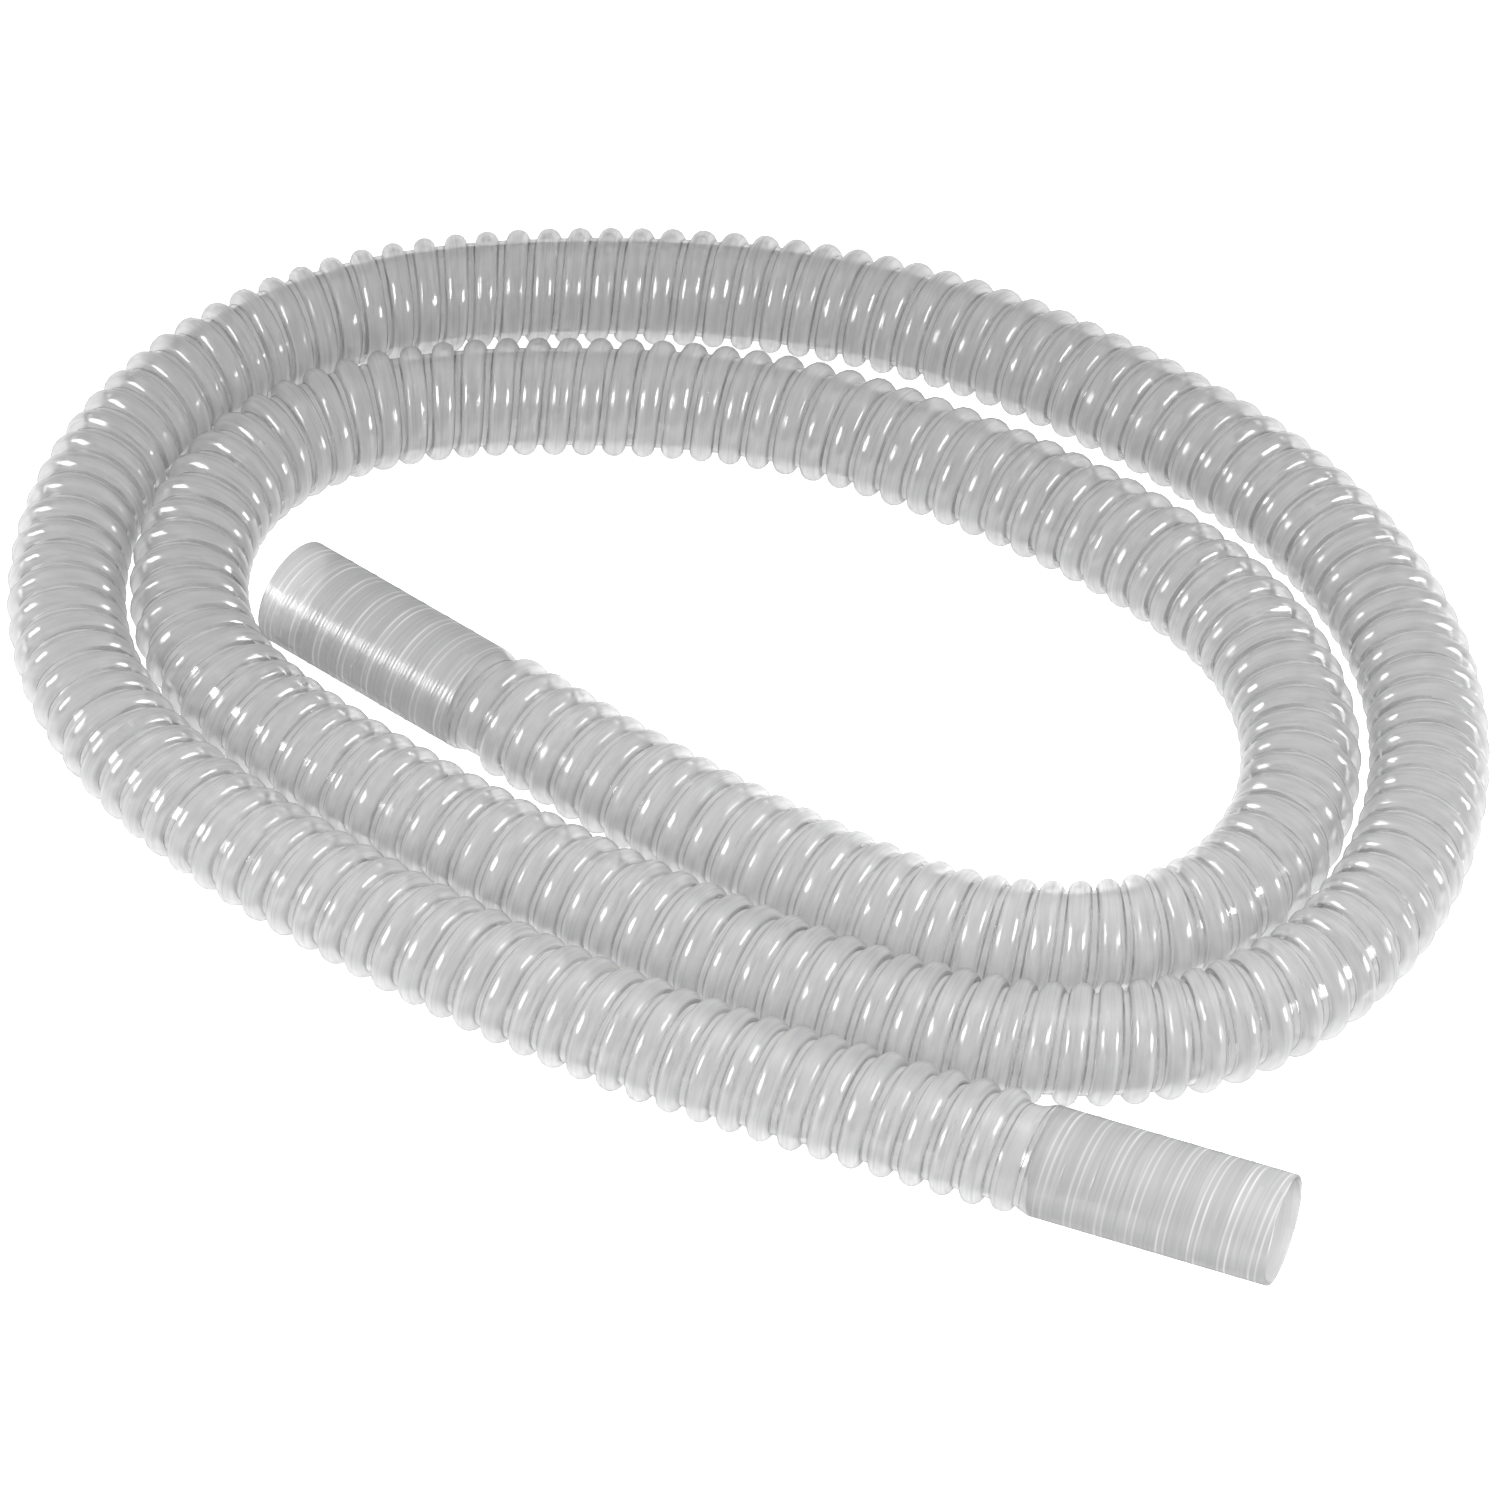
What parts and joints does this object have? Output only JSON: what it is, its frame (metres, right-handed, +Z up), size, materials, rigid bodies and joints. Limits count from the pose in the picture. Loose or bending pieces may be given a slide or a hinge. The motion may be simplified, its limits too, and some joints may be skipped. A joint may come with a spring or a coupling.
{
  "type": "ribbed transfer hose",
  "caption": "Translucent spiral-ribbed flexible hose with a smooth straight cuff at each end, lying flat in a loose oval spiral.",
  "frame": {"origin": "on the floor, under the middle of the whole spiral's box", "axes": "+Z up, +X along the spiral's longer side, +Y along its shorter side, away from the end with the outer cuff"},
  "size_m": [0.5522, 0.5154, 0.0445],
  "materials": {
    "hose_wall": "gloss",
    "outer_cuff": "gloss",
    "inner_cuff": "gloss"
  },
  "bodies": {
    "root": {"ribbed_hose": "hose_wall", "outer_cuff": "outer_cuff", "inner_cuff": "inner_cuff"}
  },
  "joints": []
}
